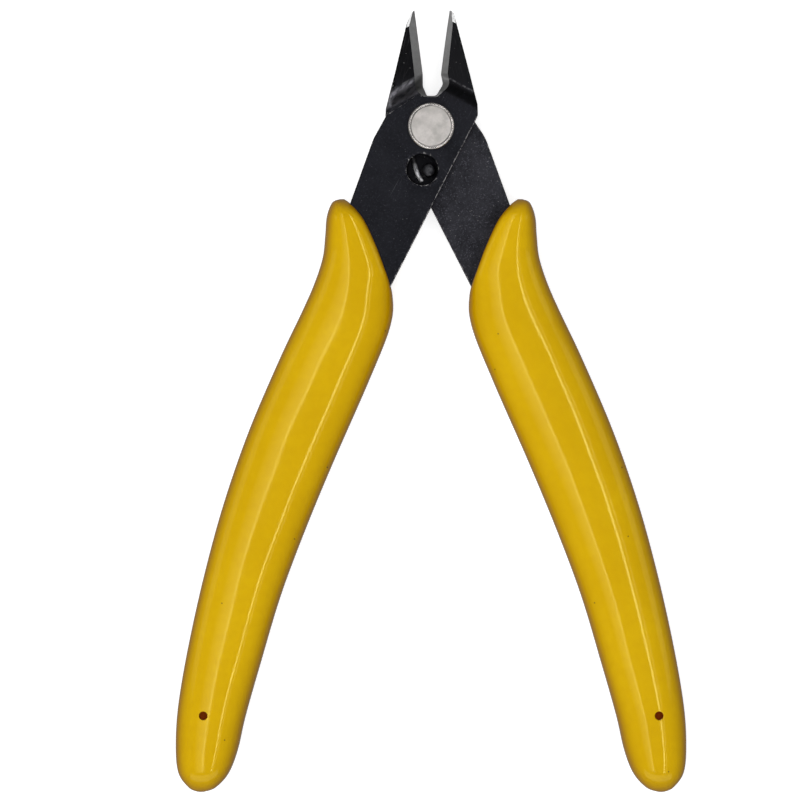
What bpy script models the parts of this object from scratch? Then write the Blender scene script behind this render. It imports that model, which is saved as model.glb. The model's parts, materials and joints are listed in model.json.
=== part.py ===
"""Flush cutter: two lapped, riveted steel blades with moulded grips, a stop pin and a wire return spring.

The tool lies flat. X runs across it, +Y runs to the jaw tips and Z is its thickness. The origin is on the
resting surface, under the middle of the tool's box. Lengths are in millimetres, and every outline is
measured from the pivot. The front half (front blade, left grip, rivet, spring) stands still; the rear half
(rear blade, right grip, stop pin) turns about the pivot.
"""
import math

import bmesh
import bpy
from mathutils import Matrix, Vector

NAME = "flush_cutter"
MM = 0.001
WELD = 0.001 * MM

# Heights, from the plane where the blades lap
GRIP_HALF = 4.75            # half the thickness of a grip
PLATE_FACE = 2.5            # outer face of either blade
LAP_FACE = 0.05             # inner face of either blade, so the running gap is 0.1
PIVOT = Vector((0, 44.6, GRIP_HALF)) * MM

# Head
FRONT_EDGE_ANGLE = math.radians(9)  # each cutting edge from the centre line, jaws open
REAR_EDGE_ANGLE = math.radians(8)
EDGE_GAP = 0.02                     # each edge stands this far back from a line through the pivot
TIP_Y = 19.0
BEVEL_LAND = 0.15                   # uncut height under the ground bevel
BEVEL_POINTS = 21                   # outline points that the ground bevel runs along
GRIND_SLOPE = 0.78                  # fall of the ground bevel for its width
STEEP = 0.12                        # width of the steep face between the bevel and the cutting edge
FACET_FRONT = 16.9                  # where the small ground facet on each tip starts
FACET_REAR = 16.2
FACET_SLOPE = 0.06
BEND_ANGLE = math.radians(28)       # normal of the jaw's bend lines, from the centre line
BEND_START = 5.7
BEND_END = 8.3
BEND_STEPS = 4
JAW_SHIFT = (PLATE_FACE + LAP_FACE) / 2

# Pivot, pin and spring
CIRCLE_STEPS = 48
ARC_STEPS = 4                       # straight pieces in a rounded corner
RIVET_HOLE = 2.55
RIVET_SHANK = 2.5
RIVET_HEAD = 3.8
RIVET_HEAD_HEIGHT = 1.0
RIVET_TAIL = 3.3
RIVET_TAIL_HEIGHT = 0.7
RIVET_CHAMFER = 0.35
SEAT_GAP = 0.04                     # between a head or collar and the plate under it
WINDOW = (-1.43, -7.02, 2.55)       # x, y and radius
PIN = (-0.37, -7.08)
PIN_RADIUS = 1.14
PIN_SHANK = 0.9
PIN_TOP = 1.9
PIN_HOLE = 0.94
WIRE = 0.35
COIL = 3.6
SPRING_Z = 0.47
POCKET_TOP = 0.9
POCKET_RADIUS = 4.05

# Grips
TANG_GAP = 0.1
HOLE = (-36.9, -95.5, 0.75)         # blind hole over the tang: x, y and radius
EDGE_HEIGHT = 0.2                   # half the height of the parting line's flat
MOUTH_HEIGHT = 2.95                 # half the height of the wall round the mouth
ROUNDNESS = 2.5                     # exponent of a grip's cross-section
CROWN = 1.05                        # how far the section would rise without its flat land
STATION_STEPS = 2
ACROSS = 12

# Front blade outside its grip, anticlockwise from the inner tip: x, y and corner radius
FRONT_THROAT = [
    (2.07, 12.1, 6.0),
    (1.62, 8.6, 1.5),
    (1.95, 7.0, 1.2),
    (0.85, 5.0, 0.8),
    (-1.3, 4.95, 0.5),
    (-2.2, 5.15, 0.4),
]
FRONT_LAP_EDGE = [
    (-4.1, 3.85, 1.5),
    (-7.2, 1.85, 0.5),
    (-9.35, -2.0, 8.0),
    (-12.95, -12.0, 4.0),
]
TANG = [
    (-17.3, -25.5, 8.0),
    (-26.9, -47.0, 40.0),
    (-34.6, -73.0, 40.0),
    (-38.8, -98.0, 2.0),
    (-37.5, -100.5, 1.5),
    (-34.9, -100.5, 1.5),
    (-28.0, -73.0, 40.0),
    (-18.3, -47.0, 30.0),
    (-10.6, -33.9, 10.0),
]
FRONT_JAW_SIDE = [
    (7.15, 0.8, 0.5),
    (7.6, 1.8, 1.0),
    (7.55, 3.6, 1.5),
    (6.3, 8.6, 6.0),
    (4.1, 17.0, 2.0),
    (3.7, 18.5, 0.4),
]
# The rear blade is the front one mirrored, but for its straighter throat, its narrower jaw and shoulder
# and, behind the window, a wider inner edge
REAR_INNER_EDGE = [
    (0.75, -11.6, 1.0),
    (2.9, -10.4, 1.5),
    (5.1, -6.8, 2.0),
]
REAR_JAW_SIDE = [
    (7.1, 0.8, 0.5),
    (7.42, 1.8, 1.0),
    (7.35, 3.0, 1.5),
    (5.85, 8.8, 6.0),
    (4.0, 16.6, 3.0),
    (3.2, 18.5, 0.3),
]
REAR_LAP_EDGE = [
    (-4.1, 3.85, 1.5),
    (-6.8, 1.35, 0.5),
    (-8.85, -1.7, 8.0),
    (-12.6, -12.0, 4.0),
]
REAR_THROAT = [
    (1.33, 8.6, 4.0),
    (1.3, 6.7, 0.8),
    (0.55, 5.0, 0.8),
    (-1.3, 4.95, 0.5),
    (-2.2, 5.15, 0.4),
]
# Width of the ground bevel down the throat, by height above the pivot
BEVEL_FRONT = [(4.95, 0.05), (5.1, 0.25), (6.0, 1.05), (8.0, 1.06), (16.3, 0.84), (TIP_Y, 0.45)]
BEVEL_REAR = [(4.95, 0.3), (5.4, 0.9), (6.8, 1.3), (9.4, 1.38), (16.3, 1.27), (TIP_Y, 0.4)]

# Left grip: matching points down its outer side and its mouth and inner side
GRIP_STATIONS = [
    ((-14.9, -11.75), (-14.1, -11.75)),
    ((-16.1, -12.35), (-12.9, -12.7)),
    ((-16.95, -14.6), (-11.0, -15.0)),
    ((-17.2, -17.6), (-9.2, -18.7)),
    ((-17.6, -21.2), (-7.7, -22.6)),
    ((-18.9, -25.3), (-6.25, -27.4)),
    ((-20.9, -29.9), (-6.65, -32.6)),
    ((-24.6, -37.7), (-10.2, -41.6)),
    ((-29.6, -49.4), (-15.9, -54.6)),
    ((-33.7, -61.2), (-20.45, -65.6)),
    ((-36.9, -72.9), (-24.4, -76.2)),
    ((-39.5, -84.6), (-27.6, -86.9)),
    ((-41.1, -94.0), (-30.1, -95.7)),
    ((-41.5, -100.4), (-31.4, -101.3)),
    ((-41.1, -104.9), (-32.9, -105.1)),
    ((-39.4, -107.4), (-35.0, -107.4)),
    ((-37.9, -108.1), (-36.9, -108.1)),
]
MOUTH_END = 5.3             # station where the mouth's wall has died away
HORN_TOP = -11.7            # where the horn starts, and how far it takes to reach full thickness
HORN_ROUND = 3.6
BUTT_END = -108.15          # where the grip ends, and how far its rounding runs
BUTT_ROUND = 6.5


# ---------------------------------------------------------------- scene, materials, small helpers

def clear_scene():
    for thing in list(bpy.data.objects):
        bpy.data.objects.remove(thing)


def new_collection(name, hidden=False):
    collection = bpy.data.collections.new(name)
    bpy.context.scene.collection.children.link(collection)
    collection.hide_render = hidden
    return collection


def material(name, colour, roughness, metallic):
    surface = bpy.data.materials.new(name)
    surface.use_nodes = True
    surface.diffuse_color = (*colour, 1)
    shader = surface.node_tree.nodes["Principled BSDF"]
    shader.inputs["Base Color"].default_value = (*colour, 1)
    shader.inputs["Roughness"].default_value = roughness
    shader.inputs["Metallic"].default_value = metallic
    return surface


def mirrored(points):
    """The outline on the other side of the centre line, still anticlockwise."""
    return [(-x, y) for x, y in reversed(points)]


def circle(x, y, radius, steps=CIRCLE_STEPS):
    angles = [math.tau * step / steps for step in range(steps)]
    return [(x + radius * math.cos(a), y + radius * math.sin(a)) for a in angles]


def rounded(corners, steps=ARC_STEPS):
    """A closed outline with each (x, y, radius) corner turned into an arc."""
    points = []
    for index, (x, y, radius) in enumerate(corners):
        here = Vector((x, y))
        back = Vector(corners[index - 1][:2]) - here
        on = Vector(corners[(index + 1) % len(corners)][:2]) - here
        half = back.angle(on) / 2
        reach = min(radius / math.tan(half), 0.48 * back.length, 0.48 * on.length)
        start = here + back.normalized() * reach
        end = here + on.normalized() * reach
        middle = here + (back.normalized() + on.normalized()).normalized() * reach / math.cos(half)
        sweep = (start - middle).angle_signed(end - middle)
        spoke = start - middle
        for step in range(steps + 1):
            turn = Matrix.Rotation(-sweep * step / steps, 2)
            points.append(tuple(middle + turn @ spoke))
    return points


def grown(points, distance):
    """The outline moved outward; it runs anticlockwise."""
    moved = []
    for index, point in enumerate(points):
        back = Vector(point) - Vector(points[index - 1])
        on = Vector(points[(index + 1) % len(points)]) - Vector(point)
        along = (back.normalized() + on.normalized()).normalized()
        stretch = max(0.5, along.dot(on.normalized()))
        moved.append((point[0] + along.y * distance / stretch, point[1] - along.x * distance / stretch))
    return moved


def between(table, place):
    """Straight-line reading of a table of (place, value) pairs."""
    for (low, first), (high, second) in zip(table, table[1:]):
        if place <= high:
            share = max(0, (place - low) / (high - low))
            return first + (second - first) * share
    return table[-1][1]


def link_mesh(name, mesh, collection):
    thing = bpy.data.objects.new(name, mesh)
    collection.objects.link(thing)
    thing.location = PIVOT
    return thing


def mesh_from_curve(curve, name, collection, lift=0.0):
    """The curve as a welded mesh whose origin is the pivot."""
    shape = bpy.data.objects.new(name + "_curve", curve)
    collection.objects.link(shape)
    bpy.context.view_layer.update()
    solid = shape.evaluated_get(bpy.context.evaluated_depsgraph_get())
    mesh = bpy.data.meshes.new_from_object(solid)
    bpy.data.objects.remove(shape)
    mesh.name = name
    mesh.transform(Matrix.Translation((0, 0, lift * MM)))
    cage = bmesh.new()
    cage.from_mesh(mesh)
    bmesh.ops.remove_doubles(cage, verts=cage.verts, dist=WELD)
    bmesh.ops.recalc_face_normals(cage, faces=cage.faces)
    cage.to_mesh(mesh)
    cage.free()
    return link_mesh(name, mesh, collection)


def flat_solid(name, loops, low, high, collection):
    """A plate between two heights, with the first loop as its outline and the rest as holes."""
    curve = bpy.data.curves.new(name, "CURVE")
    curve.dimensions = "2D"
    curve.fill_mode = "BOTH"
    curve.extrude = (high - low) / 2 * MM
    for loop in loops:
        spline = curve.splines.new("POLY")
        spline.points.add(len(loop) - 1)
        for point, (x, y) in zip(spline.points, loop):
            point.co = (x * MM, y * MM, 0, 1)
        spline.use_cyclic_u = True
    return mesh_from_curve(curve, name, collection, (low + high) / 2)


def turned(name, profile, x, y, collection):
    """A turned piece on the vertical axis through (x, y), from (radius, height) pairs, top to bottom."""
    mesh = bpy.data.meshes.new(name)
    points = [(radius * MM, 0, height * MM) for radius, height in profile]
    mesh.from_pydata(points, [(step, step + 1) for step in range(len(points) - 1)], [])
    piece = link_mesh(name, mesh, collection)
    piece.location = PIVOT + Vector((x, y, 0)) * MM
    screw = piece.modifiers.new("Turn", "SCREW")
    screw.axis = "Z"
    screw.steps = CIRCLE_STEPS
    screw.render_steps = CIRCLE_STEPS
    screw.use_merge_vertices = True
    screw.merge_threshold = WELD
    return piece


def lofted(name, sections, collection):
    """A solid through rings of the same number of points, with its two ends capped."""
    cage = bmesh.new()
    rings = [[cage.verts.new(Vector(point) * MM) for point in section] for section in sections]
    for first, second in zip(rings, rings[1:]):
        for index in range(len(first)):
            after = (index + 1) % len(first)
            cage.faces.new((first[index], first[after], second[after], second[index]))
    cage.faces.new(rings[0])
    cage.faces.new(rings[-1])
    bmesh.ops.recalc_face_normals(cage, faces=cage.faces)
    mesh = bpy.data.meshes.new(name)
    cage.to_mesh(mesh)
    cage.free()
    return link_mesh(name, mesh, collection)


def cut(piece, cutter):
    """Take the cutter's shape out of the piece."""
    cutter.hide_render = True
    cutter.display_type = "WIRE"
    boolean = piece.modifiers.new(cutter.name, "BOOLEAN")
    boolean.operation = "DIFFERENCE"
    boolean.solver = "EXACT"
    boolean.object = cutter


def apply_modifiers(piece):
    bpy.context.view_layer.update()
    solid = piece.evaluated_get(bpy.context.evaluated_depsgraph_get())
    mesh = bpy.data.meshes.new_from_object(solid)
    piece.modifiers.clear()
    piece.data = mesh


# ---------------------------------------------------------------- blades

def on_edge(angle, y):
    """The point at that height on the cutting edge of a right-hand jaw."""
    return (y * math.tan(angle) + EDGE_GAP, y)


def front_outline():
    """The front blade, with its jaw on the right and its tang on the left."""
    tip = (*on_edge(FRONT_EDGE_ANGLE, TIP_Y), 0.05)
    return rounded([tip, *FRONT_THROAT, *FRONT_LAP_EDGE, *TANG, *FRONT_JAW_SIDE])


def rear_outline():
    """The rear blade, drawn the same way round as the front one."""
    tip = (*on_edge(REAR_EDGE_ANGLE, TIP_Y), 0.05)
    return rounded([tip, *REAR_THROAT, *REAR_LAP_EDGE, *TANG, *REAR_INNER_EDGE, *REAR_JAW_SIDE])


def bevel_cutter(name, outline, angle, widths, side, low, high, collection):
    """The tool that grinds the bevel, and the steep face under it, along the jaw and round the throat."""
    start = on_edge(angle, TIP_Y + 0.5)
    below_tip = outline[ARC_STEPS + 1:]
    path = [start] + below_tip[:BEVEL_POINTS]
    sections = []
    for index, (x, y) in enumerate(path[:-1]):
        before = Vector(path[max(index - 1, 0)])
        after = Vector(path[index + 1])
        along = (after - before).normalized()
        inward = Vector((-along.y, along.x))
        width = between(widths, y)
        steep = STEEP * min(1, width / 0.6)
        drop = (width - steep) * GRIND_SLOPE
        depth = drop + (high - low - BEVEL_LAND - drop) * min(1, width / 0.5)
        foot = Vector((x, y)) - inward * 0.01
        brow = Vector((x, y)) + inward * steep
        lip = Vector((x, y)) + inward * (width + 0.3 / GRIND_SLOPE)
        clear = foot - inward * 0.4
        ring = [(clear, high + 0.3), (clear, high - depth), (foot, high - depth), (brow, high - drop),
                (lip, high + 0.3)]
        sections.append([(side * p.x, p.y, z) for p, z in ring])
    return lofted(name, sections, collection)


def grind_tip(blade, side, start, high):
    """Grind the small facet that slopes down to the tip."""
    cage = bmesh.new()
    cage.from_mesh(blade.data)
    everything = cage.verts[:] + cage.edges[:] + cage.faces[:]
    ground = bmesh.ops.bisect_plane(cage, geom=everything, dist=WELD / 10, clear_outer=True,
                                    plane_co=Vector((side * 3.8, start, high)) * MM,
                                    plane_no=Vector((side * 0.03, FACET_SLOPE, 1)).normalized())
    rim = [item for item in ground["geom_cut"] if isinstance(item, bmesh.types.BMEdge)]
    bmesh.ops.edgeloop_fill(cage, edges=rim)
    bmesh.ops.recalc_face_normals(cage, faces=cage.faces)
    cage.to_mesh(blade.data)
    cage.free()


def joggle(blade, side, shift):
    """Bend the jaw out of its plate's plane, so that both jaws end at the same height."""
    normal = Vector((side * math.sin(BEND_ANGLE), math.cos(BEND_ANGLE), 0))
    cage = bmesh.new()
    cage.from_mesh(blade.data)
    for step in range(BEND_STEPS + 1):
        distance = BEND_START + (BEND_END - BEND_START) * step / BEND_STEPS
        everything = cage.verts[:] + cage.edges[:] + cage.faces[:]
        bmesh.ops.bisect_plane(cage, geom=everything, dist=WELD,
                               plane_co=normal * distance * MM, plane_no=normal)
    for vert in cage.verts:
        share = (vert.co.dot(normal) / MM - BEND_START) / (BEND_END - BEND_START)
        share = min(1, max(0, share))
        vert.co.z += shift * MM * share * share * (3 - 2 * share)
    cage.to_mesh(blade.data)
    cage.free()


def spring_pocket(cutters):
    """The recess in the back of the front blade: a ring for the coil and room for both legs."""
    ring = circle(0, 0, POCKET_RADIUS)
    sweep = rounded([(-4.0, 0.5, 0.2), (-4.6, -4.5, 2.0), (-4.9, -8.0, 1.5), (-4.4, -10.2, 0.5),
                     (-0.9, -10.2, 0.5), (-1.9, -6.5, 0.5), (-2.6, -2.0, 0.2)])
    groove = rounded([(3.0, 0.0, 0.1), (2.5, -4.6, 0.35), (3.4, -4.9, 0.35), (4.0, 0.0, 0.1)])
    return [flat_solid(name, [loop], -1.0, POCKET_TOP, cutters)
            for name, loop in (("ring_pocket", ring), ("leg_sweep", sweep), ("leg_groove", groove))]


def front_blade(parts, cutters):
    outline = front_outline()
    holes = [circle(0, 0, RIVET_HOLE), circle(*WINDOW)]
    blade = flat_solid("front_blade", [outline] + holes, LAP_FACE, PLATE_FACE, parts)
    cut(blade, bevel_cutter("front_grinder", outline, FRONT_EDGE_ANGLE, BEVEL_FRONT, 1, LAP_FACE, PLATE_FACE,
                            cutters))
    for pocket in spring_pocket(cutters):
        cut(blade, pocket)
    apply_modifiers(blade)
    grind_tip(blade, 1, FACET_FRONT, PLATE_FACE)
    joggle(blade, 1, -JAW_SHIFT)
    return blade


def rear_blade(parts, cutters):
    outline = rear_outline()
    holes = [circle(0, 0, RIVET_HOLE), circle(*PIN, PIN_HOLE)]
    blade = flat_solid("rear_blade", [mirrored(outline)] + holes, -PLATE_FACE, -LAP_FACE, parts)
    cut(blade, bevel_cutter("rear_grinder", outline, REAR_EDGE_ANGLE, BEVEL_REAR, -1, -PLATE_FACE, -LAP_FACE,
                            cutters))
    apply_modifiers(blade)
    grind_tip(blade, -1, FACET_REAR, -LAP_FACE)
    joggle(blade, -1, JAW_SHIFT)
    return blade


# ---------------------------------------------------------------- grips

def curve_through(points, place):
    """A smooth curve through the points, read at a place counted in points."""
    first = min(int(place), len(points) - 2)
    share = place - first
    a, b, c, d = (Vector(points[min(max(first + step, 0), len(points) - 1)]) for step in (-1, 0, 1, 2))
    return b + (c - a) * share / 2 + (2 * a - 5 * b + 4 * c - d) * share ** 2 / 2 \
        + (3 * b - a - 3 * c + d) * share ** 3 / 2


def grip_section(place):
    """One ring of the left grip: over its top from the outer side to the inner side, and back below."""
    outer = curve_through([station[0] for station in GRIP_STATIONS], place)
    inner = curve_through([station[1] for station in GRIP_STATIONS], place)
    middle_y = (outer.y + inner.y) / 2
    from_end = min((HORN_TOP - middle_y) / HORN_ROUND, (middle_y - BUTT_END) / BUTT_ROUND, 1)
    rise = math.sqrt(1 - (1 - from_end) ** 2)
    mouth = min(1, max(0, (MOUTH_END - place) / 1.2))
    wall = EDGE_HEIGHT + (MOUTH_HEIGHT - EDGE_HEIGHT) * mouth * mouth * (3 - 2 * mouth)
    top = []
    for step in range(ACROSS + 1):
        share = (1 - math.cos(math.pi * step / ACROSS)) / 2
        bulge = (1 - abs(2 * share - 1) ** ROUNDNESS) ** (1 / ROUNDNESS)
        foot = EDGE_HEIGHT if share < 0.5 else wall
        height = foot + (GRIP_HALF * CROWN - foot) * bulge
        height = min(height * rise, GRIP_HALF)
        point = outer + (inner - outer) * share
        top.append((point.x, point.y, height))
    return top + [(x, y, -z) for x, y, z in reversed(top)]


def grip(name, side, blade_loop, tang_low, tang_high, parts, cutters):
    """A grip moulded over a tang: side is -1 for the left one and 1 for the right one."""
    steps = STATION_STEPS * (len(GRIP_STATIONS) - 1)
    rings = [grip_section(step / STATION_STEPS) for step in range(steps + 1)]
    rings = [[(-side * x, y, z) for x, y, z in ring] for ring in rings]
    piece = lofted(name, rings, parts)
    socket = flat_solid(name + "_socket", [grown(blade_loop, TANG_GAP)],
                        tang_low - TANG_GAP, tang_high + TANG_GAP, cutters)
    hole_x, hole_y, radius = HOLE
    hole = flat_solid(name + "_hole", [circle(-side * hole_x, hole_y, radius, 20)],
                      tang_high - TANG_GAP, GRIP_HALF + 1, cutters)
    cut(piece, socket)
    cut(piece, hole)
    return piece


# ---------------------------------------------------------------- rivet, pin, spring

def pivot_rivet(parts):
    under_head = PLATE_FACE + SEAT_GAP
    top = under_head + RIVET_HEAD_HEIGHT
    over_tail = -PLATE_FACE - SEAT_GAP
    bottom = over_tail - RIVET_TAIL_HEIGHT
    profile = [
        (0, top),
        (RIVET_HEAD - RIVET_CHAMFER, top),
        (RIVET_HEAD, top - RIVET_CHAMFER),
        (RIVET_HEAD, under_head),
        (RIVET_SHANK, under_head),
        (RIVET_SHANK, over_tail),
        (RIVET_TAIL, over_tail),
        (RIVET_TAIL, bottom + RIVET_CHAMFER),
        (RIVET_TAIL - RIVET_CHAMFER, bottom),
        (0, bottom),
    ]
    return turned("pivot_rivet", profile, 0, 0, parts)


def stop_pin(parts):
    collar = -LAP_FACE + SEAT_GAP
    dome = [(PIN_RADIUS * math.sin(a), PIN_TOP - 0.5 + 0.5 * math.cos(a))
            for a in (math.radians(angle) for angle in (0, 25, 50, 75, 90))]
    profile = dome + [
        (PIN_RADIUS, collar),
        (PIN_SHANK, collar),
        (PIN_SHANK, -PLATE_FACE),
        (0, -PLATE_FACE),
    ]
    return turned("stop_pin", profile, *PIN, parts)


def return_spring(parts):
    """A wire hairpin round the rivet: one leg bears on the pin, the other is held in its groove."""
    coil = [(COIL * math.cos(a), COIL * math.sin(a))
            for a in (math.radians(angle) for angle in range(0, 181, 15))]
    held_leg = [(2.98, -4.3), (3.3, -2.8), (3.54, -1.4)]
    free_leg = [(-3.56, -1.4), (-3.38, -2.9), (-3.03, -4.6), (-2.72, -5.8), (-2.44, -6.9), (-2.05, -7.95),
                (-1.45, -8.9)]
    curve = bpy.data.curves.new("return_spring", "CURVE")
    curve.dimensions = "3D"
    curve.bevel_depth = WIRE * MM
    curve.bevel_resolution = 2
    curve.use_fill_caps = True
    route = held_leg + coil + free_leg
    spline = curve.splines.new("POLY")
    spline.points.add(len(route) - 1)
    for point, (x, y) in zip(spline.points, route):
        point.co = (x * MM, y * MM, SPRING_Z * MM, 1)
    return mesh_from_curve(curve, "return_spring", parts)


# ---------------------------------------------------------------- assembly

def build():
    clear_scene()
    parts = new_collection(NAME)
    cutters = new_collection("cutters", hidden=True)

    front = front_blade(parts, cutters)
    rear = rear_blade(parts, cutters)
    left = grip("left_grip", -1, front_outline(), LAP_FACE, PLATE_FACE, parts, cutters)
    right = grip("right_grip", 1, mirrored(rear_outline()), -PLATE_FACE, -LAP_FACE, parts, cutters)
    rivet = pivot_rivet(parts)
    pin = stop_pin(parts)
    spring = return_spring(parts)

    looks = {
        front: ("front_blade_black_oxide", (0.018, 0.019, 0.023), 0.42, 0.85),
        rear: ("rear_blade_black_oxide", (0.036, 0.037, 0.043), 0.5, 0.8),
        left: ("left_grip_yellow_vinyl", (0.66, 0.39, 0.008), 0.22, 0.0),
        right: ("right_grip_yellow_vinyl", (0.66, 0.39, 0.008), 0.22, 0.0),
        rivet: ("rivet_satin_nickel", (0.55, 0.53, 0.5), 0.35, 1.0),
        pin: ("pin_dark_steel", (0.05, 0.05, 0.055), 0.4, 0.9),
        spring: ("spring_steel", (0.2, 0.2, 0.21), 0.35, 1.0),
    }
    for piece, look in looks.items():
        piece.data.materials.clear()
        piece.data.materials.append(material(*look))

    hinge = bpy.data.objects.new("rear_half_pivot", None)
    hinge.location = PIVOT
    parts.objects.link(hinge)
    bpy.context.view_layer.update()
    for piece in (rear, right, pin):
        placed = piece.matrix_world.copy()
        piece.parent = hinge
        piece.matrix_world = placed


build()
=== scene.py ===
"""Flush cutter: the visible meshes, materials, floor, light and camera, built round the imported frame.

Lengths are in millimetres and every outline is measured from the pivot: X runs across the tool, +Y to the
jaw tips, Z up. The front half (front blade, left grip, rivet, spring) stands still, and the rear half
(rear blade, right grip, stop pin) turns about the pivot.
"""
import json
import math

import bmesh
import bpy
from mathutils import Matrix, Vector, noise


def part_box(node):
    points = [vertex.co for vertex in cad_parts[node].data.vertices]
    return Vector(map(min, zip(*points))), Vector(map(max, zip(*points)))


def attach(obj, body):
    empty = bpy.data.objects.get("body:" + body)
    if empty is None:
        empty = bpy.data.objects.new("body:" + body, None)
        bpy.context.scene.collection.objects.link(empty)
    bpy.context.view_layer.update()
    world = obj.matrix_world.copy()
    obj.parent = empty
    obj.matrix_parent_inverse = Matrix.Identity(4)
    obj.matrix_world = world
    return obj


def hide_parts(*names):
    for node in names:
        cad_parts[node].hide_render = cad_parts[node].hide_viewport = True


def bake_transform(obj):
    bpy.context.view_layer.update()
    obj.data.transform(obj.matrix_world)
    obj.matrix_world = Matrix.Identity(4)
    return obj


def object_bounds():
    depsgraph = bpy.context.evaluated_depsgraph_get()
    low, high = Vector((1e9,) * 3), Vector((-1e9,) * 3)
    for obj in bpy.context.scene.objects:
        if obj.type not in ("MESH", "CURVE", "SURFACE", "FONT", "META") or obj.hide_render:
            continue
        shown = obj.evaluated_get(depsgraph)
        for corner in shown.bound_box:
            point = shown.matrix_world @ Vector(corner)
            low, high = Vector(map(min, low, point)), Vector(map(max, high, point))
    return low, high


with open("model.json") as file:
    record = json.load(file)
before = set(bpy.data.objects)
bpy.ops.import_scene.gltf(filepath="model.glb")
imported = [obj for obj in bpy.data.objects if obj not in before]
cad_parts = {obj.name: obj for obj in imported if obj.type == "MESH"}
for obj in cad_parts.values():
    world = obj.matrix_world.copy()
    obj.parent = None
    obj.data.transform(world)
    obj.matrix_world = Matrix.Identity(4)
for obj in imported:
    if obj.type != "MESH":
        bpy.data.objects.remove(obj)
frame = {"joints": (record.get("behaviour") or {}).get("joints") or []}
cad_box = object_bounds()

MM = 0.001
WELD = 0.002 * MM
PIVOT = Vector(frame["joints"][0]["pos_m"])


def level(node, end):
    """The lowest (0) or highest (1) level of a CAD node, from the pivot."""
    return (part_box(node)[end].z - PIVOT.z) / MM


PLATE_FACE = level("front_blade", 1)            # outer face of either blade
JAW_FACE = level("rear_blade", 1)               # both faces of the jaws, which are bent into one plane
JAW_SHIFT = PLATE_FACE - JAW_FACE
LAP_FACE = JAW_SHIFT * 2 - PLATE_FACE           # inner face of either blade
GRIP_HALF = level("left_grip", 1)
RIVET_TOP = level("pivot_rivet", 1)
RIVET_BOTTOM = level("pivot_rivet", 0)
RIVET_HEAD = (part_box("pivot_rivet")[1].x - PIVOT.x) / MM
PIN_TOP = level("stop_pin", 1)
PIN_RADIUS = (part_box("stop_pin")[1].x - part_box("stop_pin")[0].x) / 2 / MM
PIN = (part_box("stop_pin")[0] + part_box("stop_pin")[1]) / 2 / MM - PIVOT / MM
WIRE = (level("return_spring", 1) - level("return_spring", 0)) / 2
SPRING_Z = (level("return_spring", 1) + level("return_spring", 0)) / 2

# Head
FRONT_EDGE_ANGLE = math.radians(9.0)    # each cutting edge from the centre line, jaws open
REAR_EDGE_ANGLE = math.radians(8.0)
EDGE_GAP = 0.02
TIP_Y = 19.0
BEND_ANGLE = math.radians(28)
BEND_START = 5.7
BEND_END = 8.3
BEND_STEPS = 12
ARC_STEPS = 8
CIRCLE_STEPS = 96
RIVET_HOLE = 2.55
RIVET_SHANK = 2.5
RIVET_TAIL = 3.3
RIVET_GROOVE = 3.3          # radius of the fine groove inside the head's rounded rim
PIN_SHANK = 0.9
PIN_CROWN = 0.5
WINDOW = (-1.43, -7.02, 2.55)
COIL = 3.6
WIRE_END = 0.07             # length of the small chamfer on each end of the wire
POCKET_TOP = 0.9
POCKET_RADIUS = 4.05

# Edges of the blades
BREAK = 0.12                # width of the small rounding on a stamped edge
FADE = 0.35                 # how far wear runs in from an edge
STEEP = 0.12                # width of the steep face under the ground bevel
GRIND_SLOPE = 0.78          # fall of the ground bevel for its width
LAND = 0.15
SMALLEST_RADIUS = 0.03      # of a corner that is moved inward
NEARLY_PARALLEL = 1e-4
GROUND = 1                  # places of the blades' materials: 0 is the oxide
FACET = 2

# Grips
TANG_GAP = 0.1
HOLE = (-36.9, -95.5, 0.75)  # x, y and radius of the blind hole near the butt
HOLE_BOTTOM = PLATE_FACE + 0.3
HOLE_TAPER = 0.08
EDGE_HEIGHT = 0.2
MOUTH_HEIGHT = 2.95
ROUNDNESS = 2.5
LAND_CROWN = 1.05           # how far the underside would swell without its flat land
STATION_STEPS = 9
ACROSS = 34
MOUTH_END = 5.3
HORN_TOP = -11.7
HORN_ROUND = 3.6
BUTT_END = -108.15
BUTT_ROUND = 6.5
SINK = 0.02                 # share of the height that the moulding's sink marks take

# Outline of a blade with its jaw on the right, anticlockwise: x, y, corner radius, kind of edge and width
# of its strip
FRONT_THROAT = [
    (2.67, 16.5, 0, "ground", 0.84),
    (2.07, 12.1, 6.0, "ground", 0.98),
    (1.62, 8.6, 1.5, "ground", 1.06),
    (1.95, 7.0, 1.2, "ground", 1.06),
    (0.85, 5.0, 0.8, "ground", 0.3),
    (-1.3, 4.95, 0.5, "plain", BREAK),
    (-2.2, 5.15, 0.4, "plain", BREAK),
]
REAR_THROAT = [
    (2.33, 16.3, 0, "ground", 1.27),
    (1.33, 8.6, 4.0, "ground", 1.38),
    (1.3, 6.7, 0.8, "ground", 1.3),
    (0.55, 5.0, 0.8, "ground", 0.7),
    (-1.3, 4.95, 0.5, "plain", BREAK),
    (-2.2, 5.15, 0.4, "plain", BREAK),
]
FRONT_LAP_EDGE = [
    (-4.1, 3.85, 1.5, "plain", BREAK),
    (-7.2, 1.85, 0.5, "plain", BREAK),
    (-9.35, -2.0, 8.0, "plain", BREAK),
    (-12.95, -12.0, 4.0, "plain", BREAK),
]
REAR_LAP_EDGE = [
    (-4.1, 3.85, 1.5, "plain", BREAK),
    (-6.8, 1.35, 0.5, "plain", BREAK),
    (-8.85, -1.7, 8.0, "plain", BREAK),
    (-12.6, -12.0, 4.0, "plain", BREAK),
]
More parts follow.
